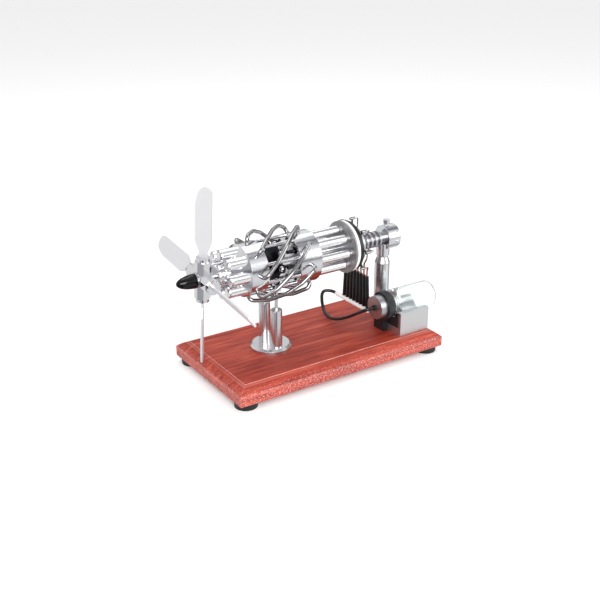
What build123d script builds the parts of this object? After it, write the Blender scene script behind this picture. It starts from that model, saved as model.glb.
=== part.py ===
from build123d import *
from math import cos, radians, sin, tan
import os

# A table-top stirling engine: eight cold and eight hot cylinders around one shaft, a wobble
# plate between them, a four-blade propeller, a gas-type burner ring and a fuel bottle, all on
# a wooden board. Millimetres, +Z up. The origin is on the table under the middle of the whole
# object, spinner tip to bottle end; +X points along the engine from the propeller to the burner.

# ---- board and feet ----
board_station = 11.5
board_length = 280.0
board_width = 153.0
board_edge = 12.6
moulding_width = 12.0
moulding_drop = 7.4
foot_radius = 13.0
foot_height = 7.0
foot_margin = 1.2
foot_screw_head = 3.6
foot_screw_radius = 1.6
foot_screw_length = 15.0
board_top = foot_height + board_edge + moulding_drop

# ---- engine axis and the stations along it ----
axis_height = 130.0
block_radius = 30.0
rim_chamfer = 0.8
front_block_front = -83.5
front_block_length = 22.0
gap_length = 41.0
rear_block_length = 29.0
hot_tube_length = 46.2
gap_front = front_block_front + front_block_length
gap_rear = gap_front + gap_length
gap_middle = (gap_front + gap_rear) / 2
rear_block_rear = gap_rear + rear_block_length
flange_front = rear_block_rear + hot_tube_length
flange_thickness = 2.2
flange_radius = 31.0
ceramic_thickness = 3.6
ceramic_radius = 30.6
insulator_thickness = 5.5
insulator_radius = 29.8
burner_thickness = 7.5
burner_radius = 23.0
burner_spigot = 14.0
flange_rear = flange_front + flange_thickness
ceramic_rear = flange_rear + ceramic_thickness
insulator_rear = ceramic_rear + insulator_thickness
burner_rear = insulator_rear + burner_thickness

# ---- cylinders ----
cylinder_count = 8
cylinder_circle = 22.0
cylinder_radius = 6.7
cylinder_bore = 5.6
cylinder_wall_end = 2.5
cold_length = 47.0
hot_radius = 5.6
hot_bore = 4.7
hot_neck_radius = 3.3
hot_neck_bore = 2.4
hot_cone_length = 3.0
hot_neck_length = 5.0
neck_boss_radius = 4.4
neck_boss_length = 2.0
tie_rod_radius = 2.0
tie_rod_circle = 27.4
tie_rod_seat = 5.0

# ---- shaft and bearings ----
shaft_radius = 3.0
shaft_clearance = 0.1
shaft_tunnel = 4.2
bearing_length = 5.0
front_bearing_radius = 6.0
rear_bearing_radius = 7.0
bearing_plate_radius = 12.0
bearing_plate_thickness = 3.0
nose_radius = 13.0
nose_tip_radius = 9.5
nose_cone_length = 17.0
nose_length = 11.0
column_radius = 5.5
column_hole = 1.0
column_hole_back = 8.0
column_seat_depth = 12.0
shaft_tail = 10.0

# ---- wobble drive ----
tilt = 12.0
drive_drum_radius = 9.0
drive_drum_length = 8.0
drum_flange_radius = 11.3
drum_flange_thickness = 1.6
running_gap = 0.2
plate_thickness = 2.4
plate_web_radius = 20.0
plate_hub_radius = 13.0
plate_hub_length = 7.6
lobe_radius = 5.0
ball_radius = 3.8
ball_gap = 0.15
yoke_width = 8.4
yoke_length = 13.0
yoke_inner = 4.2
yoke_outer = 7.2
yoke_slot = 5.2
yoke_bridge = 1.7
yoke_corner = 2.4
piston_rod_radius = 2.0
piston_gap = 0.4
power_piston_length = 16.0
displacer_length = 46.0
displacer_start = 28.5
power_piston_start = 25.5

# ---- propeller ----
propeller_station = board_station - board_length / 2
propeller_turn = 6.0
blade_count = 4
blade_pitch = 33.0
blade_tip = 106.0
blade_width = 20.0
blade_root_width = 10.0
blade_thickness = 2.2
blade_shoulder_start = 7.0
blade_shoulder_end = 18.0
tip_corner = 5.5
tip_corner_share = 0.29
tip_cut = 5.0
tip_drop = 4.0
tip_crest = (-0.6, 0.8)
taper_crest = (1.3, 15.0)
taper_length = 28.0
hub_radius = 9.0
socket_radius = 8.5
hub_length = 2 * socket_radius
socket_sides = 8
socket_start = 6.0
socket_end = 22.0
collar_end = 26.0
collar_radius = 7.6
spinner_length = 21.8
spinner_radius = 8.2
spinner_ring_radius = 8.9
spinner_ring_thickness = 1.4

# ---- crossover pipes ----
pipe_radius = 2.35
pipe_circle = block_radius + 9.5
pipe_corner_circle = block_radius + 8.6
pipe_seat = block_radius - 1.2
pipe_bend = 6.0
pipe_turn = 90.0
pipe_shares = (0.25, 0.5, 0.75)
pipe_soft_bend = 24.0
front_pipe_station = front_block_front + front_block_length / 2
rear_pipe_station = gap_rear + rear_block_length / 2

# ---- stand ----
stand_station = -44.0
stand_flange_radius = 24.0
stand_flange_height = 6.0
stand_step = 2.6
post_radius = 6.75
post_spacing = 26.0
post_top = 79.0
stud_radius = 2.0
clamp_length = 11.0
clamp_inner = 6.8
clamp_outer = 15.6
clamp_bottom = 29.5
clamp_top = 22.0
clamp_chamfer = 3.0

# ---- burner nozzles, copper pipes, rubber sleeves ----
nozzle_station = insulator_rear + 3.7
nozzle_stem_radius = 1.3
nozzle_circle = 32.5
nozzle_seat = 20.0
nozzle_head_radius = 1.7
nozzle_head_length = 7.0
copper_radius = 1.0
copper_bend = 2.2
sleeve_station = 77.5
sleeve_radius = 2.3
sleeve_top = axis_height - 35.0
sleeve_bottom = 55.5
sleeve_top_pitch = 6.0
sleeve_bottom_pitch = 6.75
manifold_radius = 2.75
manifold_height = 52.0
manifold_near = -26.5
manifold_far = 38.0
stub_radius = 1.5
sleeve_overlap = 2.0
nipple_length = 3.0
nipple_radius = 1.9

# ---- hot end support ----
neck_radius = 6.5
neck_length = 53.0
fin_radius = 9.8
fin_thickness = 2.6
fin_pitch = 6.5
fin_count = 5
fin_start = burner_rear + 5.7
collar_station = burner_rear + 41.0
collar_length = 18.0
clamp_collar_radius = 15.0
collar_boss_radius = 8.6
collar_boss_bottom = 21.5
pillar_radius = 9.3
pillar_top_radius = 6.8
pillar_station = collar_station + 2.0
pillar_cone = 7.0
pillar_cone_top = 2.5
knob_radius = 4.2
knob_height = 5.0
knob_stem_radius = 2.2
knob_stem_height = 2.2
set_screw_radius = 1.7
set_screw_stand = 1.0
set_screw_angles = (55, 100)
screw_seat = 2.0
knob_back = 3.0
set_screw_ahead = 4.0

# ---- fuel bottle, its cap and its cradle ----
bottle_side = -40.4
bottle_height = 62.0
plug_station = 75.5
plug_radius = 14.0
plug_length = 9.0
plug_spigot_radius = 11.8
plug_spigot_length = 8.0
grommet_radius = 3.3
grommet_length = 2.0
nut_radius = 17.0
nut_length = 10.0
nut_lip = 2.0
bottle_neck_radius = 13.4
bottle_thread_radius = 15.8
bottle_thread_length = 7.5
bottle_radius = 16.6
bottle_wall = 1.5
bottle_body_end = 153.5
bottle_dome = 6.5
cradle_start = 98.1
cradle_length = 42.4
cradle_near = -62.0
cradle_far = -18.0
cradle_top = 55.8
cradle_gap = 0.1
block_start = 90.3
block_near = -39.0
block_far = -21.0
block_top = 45.5
plate_near = -57.5
plate_bottom = 37.0
plate_depth = 1.6
plate_drop = 1.0

# ---- fuel hose: radius and route, from the plug's grommet to the manifold's nipple ----
hose_radius = 2.0
hose_bend_share = 0.45
hose_route = [
    (73.5, -40.4, 62.0),
    (67.5, -40.4, 62.0),
    (62.9, -36.6, 60.0),
    (59.1, -27.0, 53.4),
    (55.7, -12.0, 43.6),
    (54.0, 4.0, 35.6),
    (54.3, 20.0, 30.6),
    (56.5, 35.5, 31.4),
    (60.1, 46.4, 39.6),
    (64.1, 53.4, 48.4),
    (68.1, 54.4, 52.4),
    (73.1, 50.8, 52.8),
    (77.5, 46.8, 52.0),
    (77.5, 41.0, 52.0),
]

engine_axis = Axis((0, 0, axis_height), (1, 0, 0))
engine_side = Plane(origin=(0, 0, axis_height), x_dir=(1, 0, 0), z_dir=(0, -1, 0))
bottle_axis = Axis((0, bottle_side, bottle_height), (1, 0, 0))
bottle_side_plane = Plane(origin=(0, bottle_side, bottle_height), x_dir=(1, 0, 0), z_dir=(0, -1, 0))
board_plane = Plane(origin=(board_station, 0, 0))
step_angle = 360 / cylinder_count

os.makedirs("parts", exist_ok=True)


def station(x):
    """Sketch plane across the engine at x: its own x is +Y and its own y is +Z."""
    return Plane(origin=(x, 0, axis_height), x_dir=(0, 1, 0), z_dir=(1, 0, 0))


def bottle_station(x):
    """The same for the bottle's axis."""
    return Plane(origin=(x, bottle_side, bottle_height), x_dir=(0, 1, 0), z_dir=(1, 0, 0))


def around(x, radius, angle):
    """Point at x, radius from the engine axis, angle measured from +Z towards the near side, -Y."""
    return (x, -radius * sin(radians(angle)), axis_height + radius * cos(radians(angle)))


def outward(angle):
    """Direction away from the engine axis at that angle."""
    return (0, -sin(radians(angle)), cos(radians(angle)))


def radial_plane(x, radius, angle):
    """Plane that faces away from the engine axis at that point."""
    return Plane(origin=around(x, radius, angle), z_dir=outward(angle))


def finish(piece, name):
    """Label a finished part and write it as its own STEP."""
    piece.label = name
    export_step(piece, f"parts/{name}.step")


def turned(points, axis=engine_axis, plane=engine_side):
    """A solid of revolution from an (x, radius) outline."""
    with BuildPart() as blank:
        with BuildSketch(plane):
            with BuildLine():
                Polyline(*points, close=True)
            make_face()
        revolve(axis=axis)
    return blank.part


def copies_around(piece, count=cylinder_count, start=0.0):
    """The piece and its copies, evenly turned about the engine axis, as separate solids."""
    turned_copies = [piece.rotate(engine_axis, start + 360 / count * k) for k in range(count)]
    return Compound(children=turned_copies)


def round_bar(path, radius):
    """A round bar along a path of straight runs and tangent arcs."""
    with BuildPart() as bar:
        with BuildLine():
            add(path)
        with BuildSketch(Plane(origin=path @ 0, z_dir=path % 0)):
            Circle(radius)
        sweep()
    return bar.part


def round_rod(start, end, radius):
    """A straight round rod between two points."""
    run = Vector(*end) - Vector(*start)
    with BuildPart() as rod:
        with BuildSketch(Plane(origin=start, z_dir=run)):
            Circle(radius)
        extrude(amount=run.length)
    return rod.part


# ---- board, feet ----
with BuildPart() as base_board:
    with BuildSketch(board_plane.offset(foot_height)):
        Rectangle(board_length, board_width)
    extrude(amount=board_edge)
    with BuildSketch(board_plane.offset(foot_height + board_edge)):
        Rectangle(board_length, board_width)
    with BuildSketch(board_plane.offset(board_top)):
        Rectangle(board_length - 2 * moulding_width, board_width - 2 * moulding_width)
    loft()
    foot_x = board_length - 2 * (foot_radius + foot_margin)
    foot_y = board_width - 2 * (foot_radius + foot_margin)
    with BuildSketch(board_plane.offset(foot_height)):
        with GridLocations(foot_x, foot_y, 2, 2):
            Circle(foot_screw_radius)
    extrude(amount=foot_screw_length - foot_height + foot_screw_head, mode=Mode.SUBTRACT)
finish(base_board.part, "base_board")

foot_recess = 2.0
with BuildPart() as rubber_feet:
    with BuildSketch(board_plane):
        with GridLocations(foot_x, foot_y, 2, 2):
            Circle(foot_radius)
    extrude(amount=foot_height)
    with BuildSketch(board_plane):
        with GridLocations(foot_x, foot_y, 2, 2):
            Circle(foot_screw_head)
    extrude(amount=foot_recess + foot_screw_radius, mode=Mode.SUBTRACT)
    with BuildSketch(board_plane):
        with GridLocations(foot_x, foot_y, 2, 2):
            Circle(foot_screw_radius)
    extrude(amount=foot_height, mode=Mode.SUBTRACT)
finish(rubber_feet.part, "rubber_feet")

with BuildPart() as foot_screws:
    with BuildSketch(board_plane.offset(foot_recess)):
        with GridLocations(foot_x, foot_y, 2, 2):
            Circle(foot_screw_head)
    extrude(amount=foot_screw_radius)
    with BuildSketch(board_plane.offset(foot_recess)):
        with GridLocations(foot_x, foot_y, 2, 2):
            Circle(foot_screw_radius)
    extrude(amount=foot_screw_length)
finish(foot_screws.part, "foot_screws")

# ---- stand ----
stand_top = board_top + stand_flange_height
with BuildPart() as stand_flange:
    with BuildSketch(Plane(origin=(stand_station, 0, 0), x_dir=(1, 0, 0), z_dir=(0, -1, 0))):
        with BuildLine():
            Polyline(
                (0, board_top),
                (stand_flange_radius, board_top),
                (stand_flange_radius, stand_top - stand_step),
                (stand_flange_radius - stand_step, stand_top),
                (0, stand_top),
                close=True,
            )
        make_face()
    revolve(axis=Axis((stand_station, 0, 0), (0, 0, 1)))
finish(stand_flange.part, "stand_flange")

with BuildPart() as stand_posts:
    with BuildSketch(Plane(origin=(stand_station, 0, stand_top))):
        with GridLocations(post_spacing, post_spacing, 1, 2):
            Circle(post_radius)
    extrude(amount=post_top - stand_top)
    chamfer(stand_posts.faces().sort_by(Axis.Z)[-2:].edges(), rim_chamfer)
finish(stand_posts.part, "stand_posts")

with BuildPart() as stand_studs:
    with BuildSketch(Plane(origin=(stand_station, 0, post_top))):
        with GridLocations(post_spacing, post_spacing, 1, 2):
            Circle(stud_radius)
    extrude(amount=axis_height - clamp_bottom - post_top)
finish(stand_studs.part, "stand_studs")

with BuildPart() as stud_clamps:
    with BuildSketch(station(stand_station - clamp_length / 2)):
        with BuildLine():
            Polyline(
                (clamp_inner, -clamp_bottom),
                (clamp_outer, -clamp_bottom),
                (clamp_outer, -clamp_top - clamp_chamfer),
                (clamp_outer - clamp_chamfer, -clamp_top),
                (clamp_inner, -clamp_top),
                close=True,
            )
        make_face()
        mirror(about=Plane.YZ)
        with PolarLocations(tie_rod_circle, cylinder_count, start_angle=step_angle / 2):
            Circle(tie_rod_radius, mode=Mode.SUBTRACT)
    extrude(amount=clamp_length)
finish(stud_clamps.part, "stud_clamps")

# ---- blocks ----
nose_start = front_block_front - nose_cone_length
nose_front = nose_start - nose_length
bearing_rear = nose_front - bearing_plate_thickness + bearing_length
with BuildPart() as front_block:
    with BuildSketch(engine_side):
        with BuildLine():
            Polyline(
                (gap_front, shaft_tunnel),
                (gap_front, block_radius - rim_chamfer),
                (gap_front - rim_chamfer, block_radius),
                (front_block_front, block_radius),
                (nose_start, nose_radius),
                (nose_front, nose_tip_radius),
                (nose_front, front_bearing_radius),
                (bearing_rear, front_bearing_radius),
                (bearing_rear, shaft_tunnel),
                close=True,
            )
        make_face()
    revolve(axis=engine_axis)
    with BuildSketch(station(gap_front)):
        with PolarLocations(cylinder_circle, cylinder_count):
            Circle(cylinder_radius)
    extrude(amount=-cold_length, mode=Mode.SUBTRACT)
    with BuildSketch(station(gap_front)):
        with PolarLocations(tie_rod_circle, cylinder_count, start_angle=step_angle / 2):
            Circle(tie_rod_radius)
    extrude(amount=-tie_rod_seat, mode=Mode.SUBTRACT)
    for k in range(cylinder_count):
        seat = round_rod(
            around(front_pipe_station, pipe_seat, k * step_angle),
            around(front_pipe_station, block_radius + 1, k * step_angle),
            pipe_radius,
        )
        add(seat, mode=Mode.SUBTRACT)
finish(front_block.part, "front_block")

column_seat = gap_rear + column_seat_depth
with BuildPart() as rear_block:
    with BuildSketch(engine_side):
        with BuildLine():
            Polyline(
                (gap_rear, rear_bearing_radius),
                (gap_rear, block_radius - rim_chamfer),
                (gap_rear + rim_chamfer, block_radius),
                (rear_block_rear - rim_chamfer, block_radius),
                (rear_block_rear, block_radius - rim_chamfer),
                (rear_block_rear, 0),
                (column_seat, 0),
                (column_seat, shaft_tunnel),
                (gap_rear + bearing_length, shaft_tunnel),
                (gap_rear + bearing_length, rear_bearing_radius),
                close=True,
            )
        make_face()
    revolve(axis=engine_axis)
    with BuildSketch(station(gap_rear)):
        with PolarLocations(cylinder_circle, cylinder_count):
            Circle(hot_radius)
    extrude(amount=rear_block_length, mode=Mode.SUBTRACT)
    with BuildSketch(station(gap_rear)):
        with PolarLocations(tie_rod_circle, cylinder_count, start_angle=step_angle / 2):
            Circle(tie_rod_radius)
    extrude(amount=tie_rod_seat, mode=Mode.SUBTRACT)
    for k in range(cylinder_count):
        seat = round_rod(
            around(rear_pipe_station, pipe_seat, k * step_angle),
            around(rear_pipe_station, block_radius + 1, k * step_angle),
            pipe_radius,
        )
        add(seat, mode=Mode.SUBTRACT)
finish(rear_block.part, "rear_block")

with BuildPart() as tie_rods:
    with BuildSketch(station(gap_front - tie_rod_seat)):
        with PolarLocations(tie_rod_circle, cylinder_count, start_angle=step_angle / 2):
            Circle(tie_rod_radius)
    extrude(amount=gap_length + 2 * tie_rod_seat)
finish(tie_rods.part, "tie_rods")

plate_front = nose_front - bearing_plate_thickness
with BuildPart() as front_bearing_plate:
    with BuildSketch(station(plate_front)):
        Circle(bearing_plate_radius)
        Circle(front_bearing_radius, mode=Mode.SUBTRACT)
    extrude(amount=bearing_plate_thickness)
    chamfer(front_bearing_plate.faces().sort_by(Axis.X)[0].outer_wire().edges(), rim_chamfer)
finish(front_bearing_plate.part, "front_bearing_plate")

with BuildPart() as shaft_bearings:
    with BuildSketch(station(plate_front)):
        Circle(front_bearing_radius)
        Circle(shaft_radius + shaft_clearance, mode=Mode.SUBTRACT)
    extrude(amount=bearing_length)
    with BuildSketch(station(gap_rear)):
        Circle(rear_bearing_radius)
        Circle(shaft_radius + shaft_clearance, mode=Mode.SUBTRACT)
    extrude(amount=bearing_length)
finish(shaft_bearings.part, "shaft_bearings")

# ---- cylinders ----
cylinder_axis = Axis((0, 0, axis_height + cylinder_circle), (1, 0, 0))
cylinder_plane = Plane(
    origin=(0, 0, axis_height + cylinder_circle), x_dir=(1, 0, 0), z_dir=(0, -1, 0)
)
cold_front = gap_front - cold_length
cold_cylinder = turned(
    [
        (gap_front, cylinder_bore),
        (gap_front, cylinder_radius),
        (cold_front + cylinder_wall_end, cylinder_radius),
        (cold_front + rim_chamfer, cylinder_radius - rim_chamfer),
        (cold_front, cylinder_radius - cylinder_wall_end),
        (cold_front, 0),
        (cold_front + cylinder_wall_end, 0),
        (cold_front + cylinder_wall_end, cylinder_bore),
    ],
    cylinder_axis,
    cylinder_plane,
)
finish(copies_around(cold_cylinder), "cold_cylinders")

hot_cone_end = flange_front - hot_neck_length
hot_cone_start = hot_cone_end - hot_cone_length
hot_cylinder = turned(
    [
        (gap_rear, hot_bore),
        (gap_rear, hot_radius),
        (hot_cone_start, hot_radius),
        (hot_cone_end, hot_neck_radius),
        (flange_rear, hot_neck_radius),
        (flange_rear, 0),
        (flange_rear - cylinder_wall_end, 0),
        (flange_rear - cylinder_wall_end, hot_neck_bore),
        (hot_cone_end - rim_chamfer, hot_neck_bore),
        (hot_cone_start - rim_chamfer, hot_bore),
    ],
    cylinder_axis,
    cylinder_plane,
)
finish(copies_around(hot_cylinder), "hot_cylinders")

with BuildPart() as center_column:
    with BuildSketch(station(rear_block_rear)):
        Circle(column_radius)
    extrude(amount=hot_tube_length)
    with BuildSketch(radial_plane(flange_front - column_hole_back, 0, step_angle * 2)):
        Circle(column_hole)
    extrude(amount=2 * column_radius, mode=Mode.SUBTRACT)
finish(center_column.part, "center_column")

# ---- hot end ----
with BuildPart() as hot_flange:
    with BuildSketch(station(flange_front)):
        Circle(flange_radius)
    extrude(amount=flange_thickness)
    with BuildSketch(station(flange_front - neck_boss_length)):
        with PolarLocations(cylinder_circle, cylinder_count):
            Circle(neck_boss_radius)
    extrude(amount=neck_boss_length)
    with BuildSketch(station(flange_front - neck_boss_length)):
        with PolarLocations(cylinder_circle, cylinder_count):
            Circle(hot_neck_radius)
    extrude(amount=neck_boss_length + flange_thickness, mode=Mode.SUBTRACT)
finish(hot_flange.part, "hot_flange")

with BuildPart() as ceramic_ring:
    with BuildSketch(station(flange_rear)):
        Circle(ceramic_radius)
        Circle(burner_spigot, mode=Mode.SUBTRACT)
    extrude(amount=ceramic_thickness)
finish(ceramic_ring.part, "ceramic_ring")

with BuildPart() as insulator_ring:
    with BuildSketch(station(ceramic_rear)):
        Circle(insulator_radius)
        Circle(burner_spigot, mode=Mode.SUBTRACT)
    extrude(amount=insulator_thickness)
finish(insulator_ring.part, "insulator_ring")

nozzle_stem_end = nozzle_circle - nozzle_head_radius / 2
with BuildPart() as burner_body:
    with BuildSketch(station(flange_rear)):
        Circle(burner_spigot)
    extrude(amount=ceramic_thickness + insulator_thickness)
    with BuildSketch(station(insulator_rear)):
        Circle(burner_radius)
    extrude(amount=burner_thickness)
    for k in range(cylinder_count):
        seat = round_rod(
            around(nozzle_station, nozzle_seat, k * step_angle),
            around(nozzle_station, burner_radius + 1, k * step_angle),
            nozzle_stem_radius,
        )
        add(seat, mode=Mode.SUBTRACT)
finish(burner_body.part, "burner_body")

with BuildPart() as nozzle:
    with BuildSketch(Plane(origin=around(nozzle_station, nozzle_seat, 0))):
        Circle(nozzle_stem_radius)
    extrude(amount=nozzle_stem_end - nozzle_seat)
    head_start = around(nozzle_station - nozzle_head_length / 2, nozzle_circle, 0)
    with BuildSketch(Plane(origin=head_start, z_dir=(1, 0, 0))):
        Circle(nozzle_head_radius)
    extrude(amount=nozzle_head_length)
finish(copies_around(nozzle.part), "burner_nozzles")

# ---- crossover pipes ----
pipe_run = rear_pipe_station - front_pipe_station
pipe_corners = [
    around(front_pipe_station, pipe_seat, 0),
    around(front_pipe_station, pipe_corner_circle, 0),
    *[
        around(front_pipe_station + share * pipe_run, pipe_circle, -share * pipe_turn)
        for share in pipe_shares
    ],
    around(rear_pipe_station, pipe_corner_circle, -pipe_turn),
    around(rear_pipe_station, pipe_seat, -pipe_turn),
]
pipe_bends = [pipe_bend, *[pipe_soft_bend] * len(pipe_shares), pipe_bend]
pipe_path = FilletPolyline(*pipe_corners, radius=pipe_bends)
crossover_pipe = round_bar(pipe_path, pipe_radius)
finish(copies_around(crossover_pipe), "crossover_pipes")

# ---- gas feed ----
manifold_plane = Plane(origin=(sleeve_station, manifold_near, manifold_height), z_dir=(0, 1, 0))
sleeve_slots = [k - (cylinder_count - 1) / 2 for k in range(cylinder_count)]
stub_start = manifold_height + manifold_radius / 2
with BuildPart() as fuel_manifold:
    with BuildSketch(manifold_plane):
        Circle(manifold_radius)
    extrude(amount=manifold_far - manifold_near)
    chamfer(fuel_manifold.faces().sort_by(Axis.Y)[0].edges(), rim_chamfer)
    with BuildSketch(manifold_plane.offset(manifold_far - manifold_near)):
        Circle(nipple_radius)
    extrude(amount=nipple_length)
    with BuildSketch(Plane(origin=(sleeve_station, 0, stub_start))):
        with Locations(*[(0, slot * sleeve_bottom_pitch) for slot in sleeve_slots]):
            Circle(stub_radius)
    extrude(amount=sleeve_bottom + sleeve_overlap - stub_start)
finish(fuel_manifold.part, "fuel_manifold")

# Each copper pipe: the nozzle it leaves, the sleeve it enters, and its way round the neck behind
# the burner as (side, height above the axis) points. They nest, so that none crosses another.
head_rear = nozzle_station + nozzle_head_length / 2
copper_end = sleeve_top - sleeve_overlap
top_way = [(0, 14.0), (-11.6, 6.5), (-11.6, -7.0), (-3.0, -18.0)]
upper_way = [(-16.0, 13.5), (-16.0, -8.5), (-9.0, -19.5)]
level_way = [(-21.0, -1.5), (-20.0, -13.0), (-15.0, -21.0)]
lower_way = [(-21.0, -27.5)]
copper_routes = [
    (135, -3.5, lower_way),
    (90, -2.5, level_way),
    (45, -1.5, upper_way),
    (0, -0.5, top_way),
    (180, 0.5, []),
    (-45, 1.5, [(-y, z) for y, z in upper_way]),
    (-90, 2.5, [(-y, z) for y, z in level_way]),
    (-135, 3.5, [(-y, z) for y, z in lower_way]),
]
copper_pipes = []
sleeves = []
for angle, slot, way in copper_routes:
    start = around(head_rear, nozzle_circle, angle)
    side, height = start[1], start[2]
    entry = slot * sleeve_top_pitch
    if way:
        corners = [start, (sleeve_station, side, height)]
        corners += [(sleeve_station, y, axis_height + z) for y, z in way]
    else:
        corners = [start, (head_rear + copper_bend / 2, side, height)]
        corners.append((sleeve_station, entry, height))
    corners.append((sleeve_station, entry, copper_end))
    bends = []
    for before, here, after in zip(corners, corners[1:], corners[2:]):
        run_in = Vector(*here) - Vector(*before)
        run_out = Vector(*after) - Vector(*here)
        turn = radians(run_in.get_angle(run_out))
        room = hose_bend_share * min(run_in.length, run_out.length) / tan(turn / 2)
        bends.append(min(copper_bend, room))
    copper_pipe = round_bar(FilletPolyline(*corners, radius=bends), copper_radius)
    copper_pipes.append(copper_pipe)
    bottom = (sleeve_station, slot * sleeve_bottom_pitch, sleeve_bottom)
    top = (sleeve_station, slot * sleeve_top_pitch, sleeve_top)
    with BuildPart() as sleeve:
        add(round_rod(bottom, top, sleeve_radius))
        add(copper_pipe, mode=Mode.SUBTRACT)
        add(fuel_manifold.part, mode=Mode.SUBTRACT)
    sleeves.append(sleeve.part)
finish(Compound(children=copper_pipes), "copper_pipes")
finish(Compound(children=sleeves), "feed_sleeves")

# ---- neck, collar, pillar ----
neck_end = burner_rear + neck_length
neck_outline = [(burner_rear, 0), (burner_rear, neck_radius)]
for k in range(fin_count):
    fin_x = fin_start + k * fin_pitch
    neck_outline += [
        (fin_x, neck_radius),
        (fin_x, fin_radius),
        (fin_x + fin_thickness, fin_radius),
        (fin_x + fin_thickness, neck_radius),
    ]
neck_outline += [(neck_end, neck_radius), (neck_end, 0)]
finish(turned(neck_outline), "finned_neck")

collar_middle = collar_station + collar_length / 2
knob_station = collar_middle - knob_back
set_screw_station = collar_middle + set_screw_ahead
with BuildPart() as collar_screws:
    with BuildSketch(radial_plane(knob_station, clamp_collar_radius - screw_seat, 0)):
        Circle(knob_stem_radius)
    extrude(amount=screw_seat + knob_stem_height)
    with BuildSketch(radial_plane(knob_station, clamp_collar_radius + knob_stem_height, 0)):
        Circle(knob_radius)
    extrude(amount=knob_height)
    for angle in set_screw_angles:
        with BuildSketch(radial_plane(set_screw_station, clamp_collar_radius - screw_seat, angle)):
            Circle(set_screw_radius)
        extrude(amount=screw_seat + set_screw_stand)
finish(collar_screws.part, "collar_screws")

with BuildPart() as clamp_collar:
    with BuildSketch(station(collar_station)):
        Circle(clamp_collar_radius)
    extrude(amount=collar_length)
    chamfer(clamp_collar.edges().filter_by(GeomType.CIRCLE), rim_chamfer)
    with BuildSketch(Plane(origin=(pillar_station, 0, axis_height - collar_boss_bottom))):
        Circle(collar_boss_radius)
    extrude(amount=collar_boss_bottom - neck_radius)
    with BuildSketch(station(collar_station)):
        Circle(neck_radius)
    extrude(amount=neck_end - collar_station, mode=Mode.SUBTRACT)
    add(collar_screws.part, mode=Mode.SUBTRACT)
finish(clamp_collar.part, "clamp_collar")

pillar_shoulder = axis_height - collar_boss_bottom - pillar_cone_top - pillar_cone
with BuildPart() as rear_pillar:
    with BuildSketch(Plane(origin=(pillar_station, 0, 0), x_dir=(1, 0, 0), z_dir=(0, -1, 0))):
        with BuildLine():
            Polyline(
                (0, board_top),
                (pillar_radius, board_top),
                (pillar_radius, pillar_shoulder),
                (pillar_top_radius, pillar_shoulder + pillar_cone),
                (pillar_top_radius, axis_height - collar_boss_bottom),
                (0, axis_height - collar_boss_bottom),
                close=True,
            )
        make_face()
    revolve(axis=Axis((pillar_station, 0, 0), (0, 0, 1)))
finish(rear_pillar.part, "rear_pillar")

# ---- rotor ----
tail = gap_rear + shaft_tail
spinner_base = propeller_station - hub_length / 2 - spinner_ring_thickness
finish(
    round_rod((spinner_base, 0, axis_height), (tail, 0, axis_height), shaft_radius), "main_shaft"
)

ring_rear = spinner_base + spinner_ring_thickness
with BuildPart() as spinner_ring:
    with BuildSketch(station(spinner_base)):
        Circle(spinner_ring_radius)
        Circle(shaft_radius, mode=Mode.SUBTRACT)
    extrude(amount=spinner_ring_thickness)
finish(spinner_ring.part, "spinner_ring")

with BuildPart() as spinner:
    with BuildSketch(engine_side):
        with BuildLine():
            Line((spinner_base, 0), (spinner_base, spinner_radius))
            EllipticalCenterArc(
                (spinner_base, 0), spinner_length, spinner_radius, start_angle=90, arc_size=90
            )
            Line((spinner_base - spinner_length, 0), (spinner_base, 0))
        make_face()
    revolve(axis=engine_axis)
finish(spinner.part, "spinner")

blade_angles = [propeller_turn + 360 / blade_count * k for k in range(blade_count)]
with BuildPart() as propeller_hub:
    with BuildSketch(station(ring_rear)):
        Circle(hub_radius)
    extrude(amount=hub_length)
    for angle in blade_angles:
        with BuildSketch(radial_plane(propeller_station, socket_start, angle)):
            RegularPolygon(
                socket_radius, socket_sides, major_radius=False, rotation=180 / socket_sides
            )
        extrude(amount=socket_end - socket_start)
        with BuildSketch(radial_plane(propeller_station, socket_end, angle)):
            Circle(collar_radius)
        extrude(amount=collar_end - socket_end)
    with BuildSketch(station(ring_rear)):
        Circle(shaft_radius)
    extrude(amount=2 * hub_length, mode=Mode.SUBTRACT)
finish(propeller_hub.part, "propeller_hub")

shoulder_low = collar_end + blade_shoulder_start
shoulder_high = collar_end + blade_shoulder_end
half_root = blade_root_width / 2
half_blade = blade_width / 2
corner_inset = tip_corner_share * tip_corner
blades = []
for angle in blade_angles:
    pitch = radians(blade_pitch)
    across = (sin(pitch), -cos(radians(angle)) * cos(pitch), -sin(radians(angle)) * cos(pitch))
    flat = Vector(*across).cross(Vector(*outward(angle)))
    outline_plane = Plane(origin=(propeller_station, 0, axis_height), x_dir=across, z_dir=flat)
    with BuildPart() as blade:
        with BuildSketch(outline_plane):
            with BuildLine():
                Polyline(
                    (-half_root, collar_end),
                    (half_root, collar_end),
                    (half_root, shoulder_low),
                    (half_blade, shoulder_high),
                    (half_blade, blade_tip - tip_corner),
                )
                ThreePointArc(
                    (half_blade, blade_tip - tip_corner),
                    (half_blade - corner_inset, blade_tip - corner_inset),
                    (half_blade - tip_corner, blade_tip),
                )
                ThreePointArc(
                    (half_blade - tip_corner, blade_tip),
                    (tip_crest[0], blade_tip - tip_crest[1]),
                    (tip_cut - half_blade, blade_tip - tip_drop),
                )
                ThreePointArc(
                    (tip_cut - half_blade, blade_tip - tip_drop),
                    (taper_crest[0] - half_blade, blade_tip - taper_crest[1]),
                    (-half_blade, blade_tip - taper_length),
                )
                Polyline(
                    (-half_blade, blade_tip - taper_length),
                    (-half_blade, shoulder_high),
                    (-half_root, shoulder_low),
                    (-half_root, collar_end),
                )
            make_face()
        extrude(amount=blade_thickness / 2, both=True)
    blades.append(blade.part)
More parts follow.
